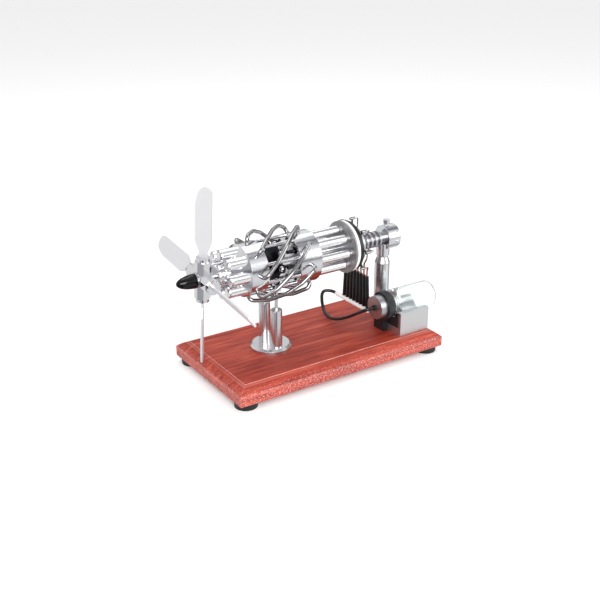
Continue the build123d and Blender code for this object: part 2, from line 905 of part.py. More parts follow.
finish(Compound(children=blades), "propeller_blades")

# ---- wobble drive ----
drive_centre = (gap_middle, 0, axis_height)
plate_normal = (cos(radians(tilt)), 0, -sin(radians(tilt)))
plate_plane = Plane(origin=drive_centre, x_dir=(0, 1, 0), z_dir=plate_normal)
ball_circle = 2 * cylinder_circle / (1 + cos(radians(tilt)))

with BuildPart() as swash_hub:
    with BuildSketch(plate_plane):
        Circle(drive_drum_radius)
    extrude(amount=drive_drum_length / 2, both=True)
    with BuildSketch(plate_plane.offset(-drive_drum_length / 2)):
        Circle(drum_flange_radius)
    extrude(amount=-drum_flange_thickness)
    with BuildSketch(station(gap_middle - shaft_radius)):
        Circle(2 * shaft_radius)
    extrude(amount=-3 * shaft_radius)
    with BuildSketch(station(gap_front)):
        Circle(shaft_radius)
    extrude(amount=gap_length, mode=Mode.SUBTRACT)
finish(swash_hub.part, "swash_hub")

with BuildPart() as swash_retainer:
    with BuildSketch(plate_plane.offset(drive_drum_length / 2)):
        Circle(drum_flange_radius)
        Circle(1.6 * shaft_radius, mode=Mode.SUBTRACT)
    extrude(amount=drum_flange_thickness)
finish(swash_retainer.part, "swash_retainer")

with BuildPart() as wobble_plate:
    with BuildSketch(plate_plane):
        Circle(plate_web_radius)
        with PolarLocations(ball_circle, cylinder_count):
            Circle(lobe_radius)
        with PolarLocations(ball_circle, cylinder_count):
            Circle(ball_radius + ball_gap, mode=Mode.SUBTRACT)
    extrude(amount=plate_thickness / 2, both=True)
    with BuildSketch(plate_plane):
        Circle(plate_hub_radius)
    extrude(amount=plate_hub_length / 2, both=True)
    with BuildSketch(plate_plane):
        Circle(drive_drum_radius + running_gap)
    extrude(amount=plate_hub_length, both=True, mode=Mode.SUBTRACT)
finish(wobble_plate.part, "wobble_plate")

piston_radius = cylinder_bore - piston_gap
displacer_radius = hot_bore - piston_gap
for number in range(1, cylinder_count + 1):
    angle = (number - 1) * step_angle
    ball_centre = plate_plane.from_local_coords(
        (-ball_circle * sin(radians(angle)), ball_circle * cos(radians(angle)), 0)
    )
    with BuildPart() as drive_ball:
        with Locations(ball_centre):
            Sphere(ball_radius)
    finish(drive_ball.part, f"drive_ball_{number}")

    yoke_plane = Plane(origin=ball_centre, x_dir=outward(angle), z_dir=(1, 0, 0))
    with BuildPart() as yoke:
        with BuildSketch(yoke_plane):
            with Locations(((yoke_outer - yoke_inner) / 2, 0)):
                RectangleRounded(yoke_outer + yoke_inner, yoke_width, yoke_corner)
        extrude(amount=yoke_length / 2, both=True)
        with BuildSketch(yoke_plane):
            with Locations(((yoke_outer - yoke_bridge - yoke_width) / 2, 0)):
                Rectangle(yoke_outer - yoke_bridge + yoke_width, 2 * yoke_width)
        extrude(amount=yoke_slot / 2, both=True, mode=Mode.SUBTRACT)
        with Locations(ball_centre):
            Sphere(ball_radius + ball_gap, mode=Mode.SUBTRACT)
        with BuildSketch(yoke_plane.offset(-yoke_length / 2)):
            Circle(piston_rod_radius)
        extrude(amount=-(power_piston_start - yoke_length / 2))
        with BuildSketch(yoke_plane.offset(yoke_length / 2)):
            Circle(piston_rod_radius)
        extrude(amount=displacer_start - yoke_length / 2)
    with BuildPart() as power_piston:
        with BuildSketch(yoke_plane.offset(-power_piston_start)):
            Circle(piston_radius)
        extrude(amount=-power_piston_length)
    with BuildPart() as displacer:
        with BuildSketch(yoke_plane.offset(displacer_start)):
            Circle(displacer_radius)
        extrude(amount=displacer_length)
    finish(Compound(children=[yoke.part, power_piston.part, displacer.part]), f"piston_{number}")

# ---- fuel bottle ----
plug_rear = plug_station + plug_length
nut_rear = plug_rear + nut_length
thread_rear = nut_rear + bottle_thread_length
bottle_plug = turned(
    [
        (plug_station, 0),
        (plug_station, plug_radius),
        (plug_rear, plug_radius),
        (plug_rear, plug_spigot_radius),
        (plug_rear + plug_spigot_length, plug_spigot_radius),
        (plug_rear + plug_spigot_length, 0),
    ],
    bottle_axis,
    bottle_side_plane,
)
finish(bottle_plug, "bottle_plug")

with BuildPart() as plug_grommet:
    with BuildSketch(bottle_station(plug_station)):
        Circle(grommet_radius)
    extrude(amount=-grommet_length)
finish(plug_grommet.part, "plug_grommet")

cap_nut = turned(
    [
        (plug_rear, plug_spigot_radius),
        (plug_rear, nut_radius),
        (nut_rear, nut_radius),
        (nut_rear, bottle_neck_radius),
        (plug_rear + nut_lip, bottle_neck_radius),
        (plug_rear + nut_lip, plug_spigot_radius),
    ],
    bottle_axis,
    bottle_side_plane,
)
finish(cap_nut, "cap_nut")

neck_inner = bottle_neck_radius - bottle_wall
with BuildPart() as fuel_bottle:
    with BuildSketch(bottle_side_plane):
        with BuildLine():
            Polyline(
                (bottle_body_end + bottle_dome - bottle_wall, 0),
                (bottle_body_end + bottle_dome, 0),
            )
            EllipticalCenterArc(
                (bottle_body_end, 0), bottle_dome, bottle_radius, start_angle=0, arc_size=90
            )
            Polyline(
                (bottle_body_end, bottle_radius),
                (thread_rear + bottle_wall, bottle_radius),
                (thread_rear, bottle_thread_radius),
                (nut_rear, bottle_thread_radius),
                (nut_rear, bottle_neck_radius),
                (plug_rear + nut_lip, bottle_neck_radius),
                (plug_rear + nut_lip, neck_inner),
                (thread_rear, neck_inner),
                (thread_rear + bottle_wall, bottle_radius - bottle_wall),
                (bottle_body_end, bottle_radius - bottle_wall),
            )
            EllipticalCenterArc(
                (bottle_body_end, 0),
                bottle_dome - bottle_wall,
                bottle_radius - bottle_wall,
                start_angle=0,
                arc_size=90,
            )
        make_face()
    revolve(axis=bottle_axis)
finish(fuel_bottle.part, "fuel_bottle")

groove_radius = bottle_radius + cradle_gap
with BuildPart() as bottle_cradle:
    with BuildSketch(Plane.XY.offset(board_top)):
        with Locations((cradle_start + cradle_length / 2, (cradle_near + cradle_far) / 2)):
            Rectangle(cradle_length, cradle_far - cradle_near)
    extrude(amount=cradle_top - board_top)
    with BuildSketch(bottle_station(cradle_start)):
        Circle(groove_radius)
    extrude(amount=cradle_length, mode=Mode.SUBTRACT)
finish(bottle_cradle.part, "bottle_cradle")

with BuildPart() as cap_block:
    with BuildSketch(Plane.XY.offset(board_top)):
        with Locations(((block_start + cradle_start) / 2, (block_near + block_far) / 2)):
            Rectangle(cradle_start - block_start, block_far - block_near)
    extrude(amount=block_top - board_top)
    with BuildSketch(Plane.XY.offset(plate_bottom)):
        with Locations((cradle_start - plate_depth / 2, (plate_near + block_near) / 2)):
            Rectangle(plate_depth, block_near - plate_near)
    extrude(amount=cradle_top - plate_drop - plate_bottom)
    with BuildSketch(bottle_station(block_start)):
        Circle(nut_radius + cradle_gap)
    extrude(amount=cradle_start - block_start, mode=Mode.SUBTRACT)
finish(cap_block.part, "cap_block")

# ---- fuel hose ----
hose_bends = []
for before, here, after in zip(hose_route, hose_route[1:], hose_route[2:]):
    run_in = Vector(*here) - Vector(*before)
    run_out = Vector(*after) - Vector(*here)
    turn = radians(run_in.get_angle(run_out))
    hose_bends.append(hose_bend_share * min(run_in.length, run_out.length) / tan(turn / 2))
hose_path = FilletPolyline(*hose_route, radius=hose_bends)
fuel_hose = round_bar(hose_path, hose_radius)
finish(fuel_hose, "fuel_hose")
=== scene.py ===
from math import pi, radians

import bmesh
import bpy
import numpy as np
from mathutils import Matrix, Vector


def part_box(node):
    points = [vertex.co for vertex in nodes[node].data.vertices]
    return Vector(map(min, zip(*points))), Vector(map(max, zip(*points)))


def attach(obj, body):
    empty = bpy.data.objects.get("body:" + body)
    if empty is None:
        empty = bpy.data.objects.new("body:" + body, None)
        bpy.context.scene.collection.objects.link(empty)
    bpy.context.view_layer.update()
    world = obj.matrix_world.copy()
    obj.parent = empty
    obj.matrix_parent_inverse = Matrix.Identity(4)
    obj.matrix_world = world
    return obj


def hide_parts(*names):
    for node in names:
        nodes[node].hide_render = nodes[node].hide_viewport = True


# A table-top stirling engine with a propeller, on a red wooden board. Metres, the frame's own axes:
# +X runs from the propeller to the burner, +Z is up, and the table is at z = 0.

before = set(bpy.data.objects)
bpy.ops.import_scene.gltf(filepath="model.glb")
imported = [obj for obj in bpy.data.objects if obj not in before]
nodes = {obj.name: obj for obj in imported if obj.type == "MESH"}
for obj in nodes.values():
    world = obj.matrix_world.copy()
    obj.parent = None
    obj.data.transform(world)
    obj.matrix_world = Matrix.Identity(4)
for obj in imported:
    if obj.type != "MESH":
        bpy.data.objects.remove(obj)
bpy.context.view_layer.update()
mm = 0.001

# where the remade pieces go, and the heights of the engine's and the bottle's axes
boardLow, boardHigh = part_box("base_board")
nutLow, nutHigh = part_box("cap_nut")
bottleLow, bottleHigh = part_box("fuel_bottle")
shaftLow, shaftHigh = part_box("main_shaft")
axisHeight = (shaftLow[2] + shaftHigh[2]) / 2
bottleY = (bottleLow[1] + bottleHigh[1]) / 2
bottleZ = (bottleLow[2] + bottleHigh[2]) / 2


def linear(hexColour):
    # an sRGB hex value as linear red, green, blue and full alpha
    parts = [int(hexColour[i:i + 2], 16) / 255 for i in (1, 3, 5)]
    return [p / 12.92 if p <= 0.04045 else ((p + 0.055) / 1.055) ** 2.4 for p in parts] + [1.0]


def addNode(tree, kind, settings=None, inputs=None, links=None, stops=None):
    # one node with its settings, its socket values, its links as {socket: (node, output)}
    # and, on a colour ramp, its stops as (place, hex colour)
    node = tree.nodes.new(kind)
    for name, value in (settings or {}).items():
        setattr(node, name, value)
    for socket, value in (inputs or {}).items():
        node.inputs[socket].default_value = value
    for socket, (source, output) in (links or {}).items():
        tree.links.new(source.outputs[output], node.inputs[socket])
    if stops:
        elements = node.color_ramp.elements
        while len(elements) < len(stops):
            elements.new(0.5)
        for element, (place, hexColour) in zip(elements, stops):
            element.position = place
            element.color = linear(hexColour)
    return node


def newMaterial(name, values):
    # a Principled material with the given socket values
    material = bpy.data.materials.new(name)
    material.use_nodes = True
    shader = material.node_tree.nodes["Principled BSDF"]
    for socket, value in values.items():
        shader.inputs[socket].default_value = value
    return material, material.node_tree, shader


def gridMesh(name, points, closeU=False, closeV=False, smooth=True):
    # a mesh from points[u, v, xyz]: each cell is one face, rows may close on themselves
    rows, columns = points.shape[:2]
    u = np.arange(rows if closeU else rows - 1)
    v = np.arange(columns if closeV else columns - 1)
    uu, vv = np.meshgrid(u, v, indexing="ij")
    nextU, nextV = (uu + 1) % rows, (vv + 1) % columns
    corners = [uu * columns + vv, nextU * columns + vv, nextU * columns + nextV, uu * columns + nextV]
    faces = np.stack(corners, -1).reshape(-1, 4)
    mesh = bpy.data.meshes.new(name)
    mesh.from_pydata(points.reshape(-1, 3).tolist(), [], faces.tolist())
    mesh.polygons.foreach_set("use_smooth", [smooth] * len(mesh.polygons))
    mesh.update()
    obj = bpy.data.objects.new(name, mesh)
    bpy.context.scene.collection.objects.link(obj)
    return obj


def sharpenByAngle(obj, degreesLimit):
    # smooth faces, with edges sharper than the limit kept crisp
    mesh = obj.data
    mesh.polygons.foreach_set("use_smooth", [True] * len(mesh.polygons))
    mesh.set_sharp_from_angle(angle=radians(degreesLimit))


def closeShell(obj):
    # doubled points merged, stray edges dropped, and every face turned outwards
    shell = bmesh.new()
    shell.from_mesh(obj.data)
    bmesh.ops.remove_doubles(shell, verts=shell.verts, dist=0.001 * mm)
    bmesh.ops.delete(shell, geom=[e for e in shell.edges if not e.link_faces], context="EDGES")
    bmesh.ops.recalc_face_normals(shell, faces=shell.faces)
    shell.to_mesh(obj.data)
    shell.free()
    return obj


def dress(obj, material):
    obj.data.materials.clear()
    obj.data.materials.append(material)


def finishPiece(obj, body, replaced, material):
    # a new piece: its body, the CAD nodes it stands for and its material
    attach(obj, body)
    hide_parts(*replaced)
    dress(obj, material)


def lookAt(obj, place, target):
    # an object at a place, with its own -Z pointing at the target
    obj.location = place
    obj.rotation_euler = (Vector(target) - obj.location).to_track_quat("-Z", "Y").to_euler()
    bpy.context.scene.collection.objects.link(obj)


viewpoint = {"lens": 57.36, "sensor": 36, "at": (-0.5647, -0.8544, 0.5152), "aim": (0.00433, 0.0117, 0.06994)}

cameraData = bpy.data.cameras.new("camera")
cameraData.lens = viewpoint["lens"]
cameraData.sensor_width = viewpoint["sensor"]
camera = bpy.data.objects.new("camera", cameraData)
lookAt(camera, viewpoint["at"], viewpoint["aim"])
bpy.context.scene.camera = camera
print("camera placed")

# Machined metals. Marks are the width of the tool marks in mm, depth how deep they look in mm, and
# finer how many times closer they stand along x, y and z. Real marks are hundredths of a millimetre
# wide: these are drawn as coarse as they need to show.
metalLooks = {
    # turned and buffed aluminium of the blocks: bright, with faint rings around the axis
    "buffedAluminium": {"colour": "#e2e3e6", "roughness": 0.16, "marks": 2.5, "depth": 0.02,
                        "finer": (30, 1, 1)},
    # milled aluminium of the burner, neck and plug: a visible satin grain
    "satinAluminium": {"colour": "#b9b9bc", "roughness": 0.34, "marks": 1.11, "depth": 0.03,
                       "finer": (1, 1, 6)},
    # bead-blasted plate of the hot flange: an even grey that mirrors nothing
    "blastedAluminium": {"colour": "#a9a9ab", "roughness": 0.55, "marks": 0.667, "depth": 0.05},
    # fine-turned aluminium of the posts, pillar and flange: bright but smeared, rings around each axis
    "turnedAluminium": {"colour": "#d9d8da", "roughness": 0.24, "marks": 1.43, "depth": 0.02,
                        "finer": (1, 1, 12)},
    # milled aluminium of the cradle: pale and even, soft reflections
    "milledAluminium": {"colour": "#dededf", "roughness": 0.36, "marks": 1.67, "depth": 0.02,
                        "finer": (1, 1, 6)},
    # chromed steel: mirror bright
    "chromedSteel": {"colour": "#e0e0e3", "roughness": 0.07, "marks": 4.0, "depth": 0.008},
    # drawn stainless tube: a little darker and softer than chrome, lines along the tube
    "drawnStainless": {"colour": "#a3a2a3", "roughness": 0.16, "marks": 3.33, "depth": 0.015,
                       "finer": (1, 4, 4)},
    # buffed stainless of the cylinders and column: brighter than the pipes
    "buffedStainless": {"colour": "#f6f6f7", "roughness": 0.22, "marks": 3.33, "depth": 0.01,
                        "finer": (1, 4, 4)},
    # blued steel of the wobble drive: nearly black, catches small highlights
    "bluedSteel": {"colour": "#3a3b40", "roughness": 0.28, "marks": 2.0, "depth": 0.02},
    # copper pipe, bare and warm low down and tinned bright higher up
    "tinnedCopper": {"colour": "#c98064", "roughness": 0.25, "marks": 1.67, "depth": 0.02},
    # sheet aluminium of the blades: bright satin that stays pale, rolled lines along the blade
    "rolledAluminium": {"colour": "#dadadc", "roughness": 0.40, "marks": 2.86, "depth": 0.012,
                        "finer": (8, 1, 1), "metallic": 0.55},
}
machining = {"edgeRound": 0.25 * mm, "bump": 0.15, "dullest": 1.35, "brightest": 0.75}
materials = {}


def machinedMetal(name, look):
    # faint tool marks in the roughness and a very shallow bump, with broken edges that catch the light
    material, tree, shader = newMaterial(name, {"Metallic": look.get("metallic", 1.0),
                                                "Roughness": look["roughness"],
                                                "Base Color": linear(look["colour"])})
    coords = addNode(tree, "ShaderNodeTexCoord")
    place = addNode(tree, "ShaderNodeMapping", inputs={"Scale": look.get("finer", (1, 1, 1))},
                    links={"Vector": (coords, "Object")})
    marks = addNode(tree, "ShaderNodeTexNoise", inputs={"Scale": 1 / (look["marks"] * mm), "Detail": 4.0},
                    links={"Vector": (place, "Vector")})
    spread = addNode(tree, "ShaderNodeMapRange",
                     inputs={"To Min": look["roughness"] * machining["brightest"],
                             "To Max": look["roughness"] * machining["dullest"]},
                     links={"Value": (marks, "Fac")})
    tree.links.new(spread.outputs["Result"], shader.inputs["Roughness"])
    softEdge = addNode(tree, "ShaderNodeBevel", {"samples": 4}, {"Radius": machining["edgeRound"]})
    bump = addNode(tree, "ShaderNodeBump",
                   inputs={"Strength": machining["bump"], "Distance": look["depth"] * mm},
                   links={"Height": (marks, "Fac"), "Normal": (softEdge, "Normal")})
    tree.links.new(bump.outputs["Normal"], shader.inputs["Normal"])
    return material


for lookName, look in metalLooks.items():
    materials[lookName] = machinedMetal(lookName, look)

copper = {
    "bare": 24 * mm, "tinned": 12 * mm,  # how far under the engine's axis the bare copper ends and the tin starts
    "tones": [(0.0, "#b4685a"), (0.35, "#c98a7a"), (1.0, "#c4c4c6")],
}


def tinCopper(material):
    # the pipes' colour by height: bare just above the sleeves, tinned near the burner
    tree = material.node_tree
    coords = addNode(tree, "ShaderNodeTexCoord")
    split = addNode(tree, "ShaderNodeSeparateXYZ", links={"Vector": (coords, "Object")})
    height = addNode(tree, "ShaderNodeMapRange",
                     inputs={"From Min": axisHeight - copper["bare"], "From Max": axisHeight - copper["tinned"]},
                     links={"Value": (split, "Z")})
    tone = addNode(tree, "ShaderNodeValToRGB", links={"Fac": (height, "Result")}, stops=copper["tones"])
    tree.links.new(tone.outputs["Color"], tree.nodes["Principled BSDF"].inputs["Base Color"])


tinCopper(materials["tinnedCopper"])
print("metals ready")

wood = {
    "tones": [(0.31, "#5f150d"), (0.43, "#8b2a1b"), (0.53, "#a63b29"), (0.63, "#c05a44")],
    "figureShare": 0.4,
    "patterns": {  # how long along the board and how wide across it one streak is, and how rough
        "figure": (110 * mm, 15 * mm, {"Detail": 4.0, "Distortion": 0.8}),
        "grain": (110 * mm, 5 * mm, {"Detail": 7.0, "Roughness": 0.66, "Distortion": 0.35}),
        "lines": (40 * mm, 1.5 * mm, {"Detail": 4.0, "Roughness": 0.7}),
        # real pores are half of this: drawn as coarse as they need to show
        "flecks": (2.25 * mm, 0.9 * mm, {"Detail": 2.0, "Roughness": 0.6}),
    },
    "pore": "#3f100c", "poreFrom": 0.54, "poreTo": 0.66, "poreMost": 0.8,
    # pale flecks: a speckle in the wood, and on the upright sides also a painted sheen
    "fleck": "#e6aeaa", "fleckFrom": 0.50, "fleckTo": 0.68, "fleckMost": 0.85,
    "topShare": 0.05,  # flecks left on the flat top
    "flatUp": 0.92, "steepUp": 0.45,  # how far up a face points where the flecks start and are all there
    # a painted highlight: a pale colour along the board's edges, standing in for light caught by the chamfers
    "paintedEdgeHighlight": "#e2a79c", "highlightWidth": 0.7 * mm, "highlightMost": 0.6,
    "relief": 0.12 * mm,
}


def padaukWood():
    # oiled padauk: red-orange heartwood with long dark pores along the board, and pale flecks,
    # a speckle in the wood, laid on thicker on the upright and sloping sides, where they also paint a sheen that
    # makes the sides lighter than the top
    material, tree, shader = newMaterial("oiledPadauk", {"Roughness": 0.5, "Specular IOR Level": 0.28})
    coords = addNode(tree, "ShaderNodeTexCoord")
    noise = {}
    for name, (length, width, settings) in wood["patterns"].items():
        place = addNode(tree, "ShaderNodeMapping", inputs={"Scale": (1 / length, 1 / width, 1 / width)},
                        links={"Vector": (coords, "Object")})
        noise[name] = addNode(tree, "ShaderNodeTexNoise", inputs={"Scale": 1.0, **settings},
                              links={"Vector": (place, "Vector")})
    blend = addNode(tree, "ShaderNodeMix", {"data_type": "FLOAT"}, {"Factor": wood["figureShare"]},
                    {"A": (noise["grain"], "Fac"), "B": (noise["figure"], "Fac")})
    body = addNode(tree, "ShaderNodeValToRGB", links={"Fac": (blend, "Result")}, stops=wood["tones"])
    poreMask = addNode(tree, "ShaderNodeMapRange",
                       inputs={"From Min": wood["poreFrom"], "From Max": wood["poreTo"],
                               "To Max": wood["poreMost"]},
                       links={"Value": (noise["lines"], "Fac")})
    withPores = addNode(tree, "ShaderNodeMix", {"data_type": "RGBA"}, {"B": linear(wood["pore"])},
                        {"Factor": (poreMask, "Result"), "A": (body, "Color")})
    facing = addNode(tree, "ShaderNodeNewGeometry")
    up = addNode(tree, "ShaderNodeSeparateXYZ", links={"Vector": (facing, "True Normal")})
    # painted sheen: the pale flecks thicken on upright faces, so the sides come out lighter than the top
    sideSheenShare = addNode(tree, "ShaderNodeMapRange",
                        inputs={"From Min": wood["flatUp"], "From Max": wood["steepUp"],
                                "To Min": wood["topShare"], "To Max": 1.0},
                        links={"Value": (up, "Z")})
    fleckMask = addNode(tree, "ShaderNodeMapRange",
                        inputs={"From Min": wood["fleckFrom"], "From Max": wood["fleckTo"],
                                "To Max": wood["fleckMost"]},
                        links={"Value": (noise["flecks"], "Fac")})
    fleckAndSheenShare = addNode(tree, "ShaderNodeMath", {"operation": "MULTIPLY"},
                         links={0: (sideSheenShare, "Result"), 1: (fleckMask, "Result")})
    withFlecksAndSheen = addNode(tree, "ShaderNodeMix", {"data_type": "RGBA"}, {"B": linear(wood["fleck"])},
                         {"Factor": (fleckAndSheenShare, "Value"), "A": (withPores, "Result")})
    # edges painted pale as a highlight, where a small chamfer would catch the light: found where a rounded-off
    # normal leaves the real one
    soft = addNode(tree, "ShaderNodeBevel", {"samples": 4}, {"Radius": wood["highlightWidth"]})
    bend = addNode(tree, "ShaderNodeVectorMath", {"operation": "DOT_PRODUCT"},
                   links={0: (soft, "Normal"), 1: (facing, "True Normal")})
    highlightMask = addNode(tree, "ShaderNodeMapRange",
                      inputs={"From Min": 0.995, "From Max": 0.93, "To Max": wood["highlightMost"]},
                      links={"Value": (bend, "Value")})
    paintedEdgeHighlight = addNode(tree, "ShaderNodeMix", {"data_type": "RGBA"}, {"B": linear(wood["paintedEdgeHighlight"])},
                     {"Factor": (highlightMask, "Result"), "A": (withFlecksAndSheen, "Result")})
    tree.links.new(paintedEdgeHighlight.outputs["Result"], shader.inputs["Base Color"])
    bump = addNode(tree, "ShaderNodeBump", inputs={"Strength": 0.35, "Distance": wood["relief"]},
                   links={"Height": (noise["lines"], "Fac")})
    tree.links.new(bump.outputs["Normal"], shader.inputs["Normal"])
    return material


materials["oiledPadauk"] = padaukWood()

# Moulded, cast and glazed surfaces: two close tones, the size of the mottle and its depth in mm. The
# real orange-peel is under half a millimetre: it is drawn as coarse as it needs to show.
mouldedLooks = {
    # moulded rubber of the feet and grommet: dull black
    "mouldedRubber": {"tones": ("#131313", "#1e1e1d"), "roughness": 0.55, "mottle": 1.11, "depth": 0.03},
    # silicone hose: a glossy black tube
    "siliconeHose": {"tones": ("#0d0c0c", "#1a1614"), "roughness": 0.22, "mottle": 2.0, "depth": 0.01},
    # vinyl sleeves: black with bright streaks
    "vinylSleeve": {"tones": ("#050507", "#0b0b0e"), "roughness": 0.18, "mottle": 2.0, "depth": 0.01},
    # turned nylon of the cap nut, block and ring: satin black
    "turnedNylon": {"tones": ("#101114", "#1c1d21"), "roughness": 0.38, "mottle": 1.43, "depth": 0.02},
    # black anodised and polished spinner: deep black, sharp highlights
    "anodisedBlack": {"tones": ("#020203", "#050506"), "roughness": 0.14, "mottle": 3.33, "depth": 0.004,
                      "specular": 0.35},
    # glazed ceramic ring: off-white
    "glazedCeramic": {"tones": ("#e6e3dd", "#f2f0ec"), "roughness": 0.35, "mottle": 1.67, "depth": 0.02},
    # machined white acetal of the manifold and one yoke: plain white
    "whiteAcetal": {"tones": ("#dcd6d6", "#ebe7e6"), "roughness": 0.30, "mottle": 1.67, "depth": 0.01},
}


def mouldedSurface(name, look):
    # two close tones in a fine mottle, with a light orange-peel bump
    material, tree, shader = newMaterial(name, {"Roughness": look["roughness"],
                                                "Specular IOR Level": look.get("specular", 0.5)})
    coords = addNode(tree, "ShaderNodeTexCoord")
    mottle = addNode(tree, "ShaderNodeTexNoise", inputs={"Scale": 1 / (look["mottle"] * mm), "Detail": 5.0},
                     links={"Vector": (coords, "Object")})
    tone = addNode(tree, "ShaderNodeValToRGB", links={"Fac": (mottle, "Fac")},
                   stops=[(0.35, look["tones"][0]), (0.68, look["tones"][1])])
    tree.links.new(tone.outputs["Color"], shader.inputs["Base Color"])
    bump = addNode(tree, "ShaderNodeBump", inputs={"Strength": 0.25, "Distance": look["depth"] * mm},
                   links={"Height": (mottle, "Fac")})
    tree.links.new(bump.outputs["Normal"], shader.inputs["Normal"])
    return material


for lookName, look in mouldedLooks.items():
    materials[lookName] = mouldedSurface(lookName, look)

glass = {"colour": "#f7fafa", "ior": 1.47, "waveLength": 11.1 * mm, "waveDepth": 0.15 * mm}


def blownGlass():
    # lamp-blown borosilicate: clear, with faint waves from the flame
    material, tree, shader = newMaterial("blownGlass", {"Base Color": linear(glass["colour"]), "Roughness": 0.02,
                                                        "IOR": glass["ior"], "Transmission Weight": 1.0})
    coords = addNode(tree, "ShaderNodeTexCoord")
    waves = addNode(tree, "ShaderNodeTexNoise", inputs={"Scale": 1 / glass["waveLength"], "Detail": 2.0},
                    links={"Vector": (coords, "Object")})
    bump = addNode(tree, "ShaderNodeBump", inputs={"Strength": 0.2, "Distance": glass["waveDepth"]},
                   links={"Height": (waves, "Fac")})
    tree.links.new(bump.outputs["Normal"], shader.inputs["Normal"])
    return material


materials["blownGlass"] = blownGlass()
print("materials ready")

# which CAD nodes have which finish
eight = range(1, 9)
finishes = {
    "oiledPadauk": ["base_board"],
    "blownGlass": ["fuel_bottle"],
    "buffedAluminium": ["stud_clamps", "front_block", "rear_block", "front_bearing_plate", "clamp_collar"],
    "satinAluminium": ["burner_body", "finned_neck", "bottle_plug"],
    "blastedAluminium": ["hot_flange"],
    "turnedAluminium": ["stand_flange", "stand_posts", "rear_pillar"],
    "milledAluminium": ["bottle_cradle"],
    "rolledAluminium": ["propeller_blades"],
    "chromedSteel": ["foot_screws", "stand_studs", "tie_rods", "shaft_bearings", "collar_screws", "main_shaft",
                     "swash_retainer", "propeller_hub", "spinner_ring", *(f"drive_ball_{n}" for n in eight)],
    "buffedStainless": ["cold_cylinders", "hot_cylinders", "center_column"],
    "drawnStainless": ["crossover_pipes", "burner_nozzles"],
    "bluedSteel": ["swash_hub", "wobble_plate", *(f"piston_{n}" for n in eight[1:])],
    "tinnedCopper": ["copper_pipes"],
    "mouldedRubber": ["rubber_feet", "plug_grommet"],
    "vinylSleeve": ["feed_sleeves"],
    "turnedNylon": ["insulator_ring", "cap_nut", "cap_block"],
    "anodisedBlack": ["spinner"],
    "glazedCeramic": ["ceramic_ring"],
    "whiteAcetal": ["fuel_manifold", "piston_1"],
}
for materialName, nodeNames in finishes.items():
    for nodeName in nodeNames:
        dress(nodes[nodeName], materials[materialName])
print("nodes dressed")

board = {
    "band": 12 * mm, "sideTop": 12.6 * mm, "bulge": 1.1 * mm,  # the sloping edge: width, where it starts, swell
    "panelStep": 0.7 * mm, "stepSlant": 0.25 * mm, "softCorner": 0.9 * mm, "crispAngle": 28,
}


def makeBoard():
    # a moulding profile (inset from the outer edge, height) carried round a rectangle with mitred corners:
    # foot corner, upright side, soft corner, a slightly bulging slope, a small step and the flat panel
    low, high = np.array(boardLow), np.array(boardHigh)
    bottom, panel = low[2], high[2]
    sideTop = bottom + board["sideTop"]
    soft, band, slant = board["softCorner"], board["band"], board["stepSlant"]
    turn = np.linspace(0, pi / 2, 6)
    foot = np.stack([soft * (1 - np.sin(turn)), bottom + soft * (1 - np.cos(turn))], -1)
    along = np.linspace(0, 1, 12)
    climb = panel - board["panelStep"] - sideTop
    slope = np.stack([soft * 0.5 + (band - soft * 0.5) * along,
                      sideTop + climb * along + board["bulge"] * np.sin(pi * along)], -1)
    middle = (high[1] - low[1]) / 2
    step = [[band, panel - slant], [band + slant, panel]]
    profile = np.concatenate([[[middle, bottom]], foot, [[0, sideTop - soft]], slope, step, [[middle, panel]]])
    inset, height = profile[:, 0], profile[:, 1]
    corners = []
    for sideX, sideY in ((-1, -1), (1, -1), (1, 1), (-1, 1)):
        x = (high[0] - inset) if sideX > 0 else (low[0] + inset)
        y = (high[1] - inset) if sideY > 0 else (low[1] + inset)
        corners.append(np.stack([x, y, height], -1))
    obj = closeShell(gridMesh("woodBoard", np.stack(corners), closeU=True))
    sharpenByAngle(obj, board["crispAngle"])
    return obj


finishPiece(makeBoard(), "frame", ["base_board"], materials["oiledPadauk"])
print("board made")

nut = {
    "ridges": 48, "columns": 8,  # ridges round the nut, and faces across each
    "depth": 0.45 * mm, "edge": 1.0 * mm, "crispAngle": 50,
    "bore": 13.4 * mm, "spigot": 11.8 * mm, "lip": 2 * mm,
}


def turnedSurface(name, outline, spin, ripple=None):
    # an outline of (x, radius) turned about the bottle's axis; where ripple isn't nought, the radius
    # dips by that much and back once for each ridge
    xs, radii = np.array(outline).T
    angle = np.linspace(0, 2 * pi, spin, endpoint=False)
    radius = np.repeat(radii[:, None], spin, 1)
    if ripple is not None:
        radius = radius - ripple[:, None] * (0.5 - 0.5 * np.cos(nut["ridges"] * angle))
    points = np.stack([np.repeat(xs[:, None], spin, 1),
                       bottleY - radius * np.sin(angle), bottleZ + radius * np.cos(angle)], -1)
    return closeShell(gridMesh(name, points, closeV=True))


def makeNut():
    # a ring with rounded rims whose outside rises and falls around it as even ridges
    start, end = nutLow[0], nutHigh[0]
    outer = (nutHigh[1] - nutLow[1]) / 2
    edge, bore, spigot = nut["edge"], nut["bore"], nut["spigot"]
    lipEnd = start + nut["lip"]
    turn = np.linspace(0, pi / 2, 5)
    setBack, drop = edge * (1 - np.sin(turn)), edge * (1 - np.cos(turn))
    rise = np.stack([start + setBack, outer - drop], -1)[::-1]
    fall = np.stack([end - setBack, outer - drop], -1)
    inside = [(end, bore), (lipEnd, bore), (lipEnd, spigot), (start, spigot)]
    outline = np.concatenate([[(start, spigot)], rise, fall, inside])
    ripple = np.zeros(len(outline))
    ripple[4:8] = nut["depth"]  # only between the rims, at the outline's widest points
    obj = turnedSurface("capNut", outline, nut["ridges"] * nut["columns"], ripple)
    sharpenByAngle(obj, nut["crispAngle"])
    return obj


finishPiece(makeNut(), "frame", ["cap_nut"], materials["turnedNylon"])
print("nut made")

